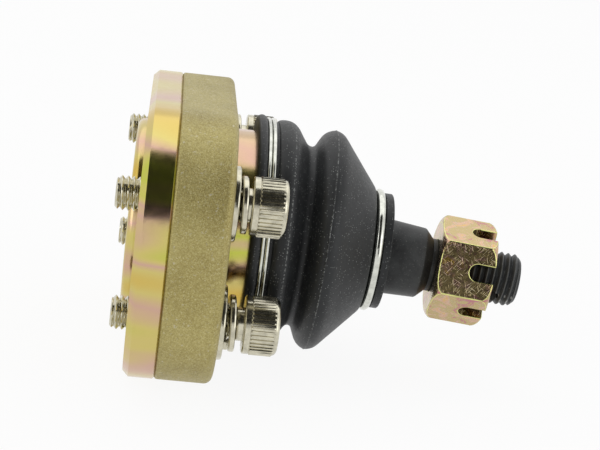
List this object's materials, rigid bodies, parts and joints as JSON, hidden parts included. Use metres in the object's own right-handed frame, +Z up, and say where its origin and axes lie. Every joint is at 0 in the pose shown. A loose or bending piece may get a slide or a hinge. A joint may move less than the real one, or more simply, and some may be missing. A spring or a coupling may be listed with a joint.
{
  "type": "suspension ball joint",
  "caption": "Bolt-on suspension ball joint: oval plated flange and clamp plate on cap screws, folded rubber boot, tapered stud with castle nut.",
  "frame": {"origin": "centre of the four-screw pattern on the back face of the housing's flange", "axes": "+X along the housing's axis from the flange towards the stud, +Y across the flange, +Z up"},
  "size_m": [0.0756, 0.074, 0.048],
  "materials": {
    "zinc_plate": "bright yellow chromate, with iridescent bands",
    "blasted_zinc": "blasted, matte golden-olive chromate",
    "nickel": "nickel plate",
    "black_steel": "black phosphate, finely speckled",
    "yellow_nut": "yellow chromate over machined steel",
    "boot_rubber": "moulded, satin",
    "bright_wire": "bright spring wire",
    "bearing_plastic": "acetal",
    "spring_steel": "plain"
  },
  "bodies": {
    "housing": {"housing": "zinc_plate", "clamp_plate": "blasted_zinc", "end_cap": "zinc_plate", "front_seat": "bearing_plastic", "back_seat": "bearing_plastic", "disc_spring": "spring_steel", "screw_1": "nickel", "screw_2": "nickel", "screw_3": "nickel", "screw_4": "nickel", "flat_washer_1": "nickel", "flat_washer_2": "nickel", "flat_washer_3": "nickel", "flat_washer_4": "nickel", "split_washer_1": "nickel", "split_washer_2": "nickel", "split_washer_3": "nickel", "split_washer_4": "nickel", "boot_ring": "bright_wire"},
    "boot": {"boot": "boot_rubber"},
    "clip": {"boot_clip": "bright_wire"},
    "stud": {"ball_stud": "black_steel", "castle_nut": "yellow_nut"}
  },
  "joints": [
    {"name": "lean_direction", "type": "hinge", "parent": "housing", "child": "boot", "pos_m": [0.0131, 0, 0], "axis": [1, 0, 0], "continuous": true},
    {"name": "lean", "type": "hinge", "parent": "boot", "child": "clip", "pos_m": [0.0131, 0, 0], "axis": [0, 0.8182, -0.575], "range_deg": [-30, 19.5], "deforming": ["boot"]},
    {"name": "stud_spin", "type": "hinge", "parent": "clip", "child": "stud", "pos_m": [0.0131, 0, 0], "axis": [0.9956, -0.0539, -0.0767], "continuous": true}
  ]
}
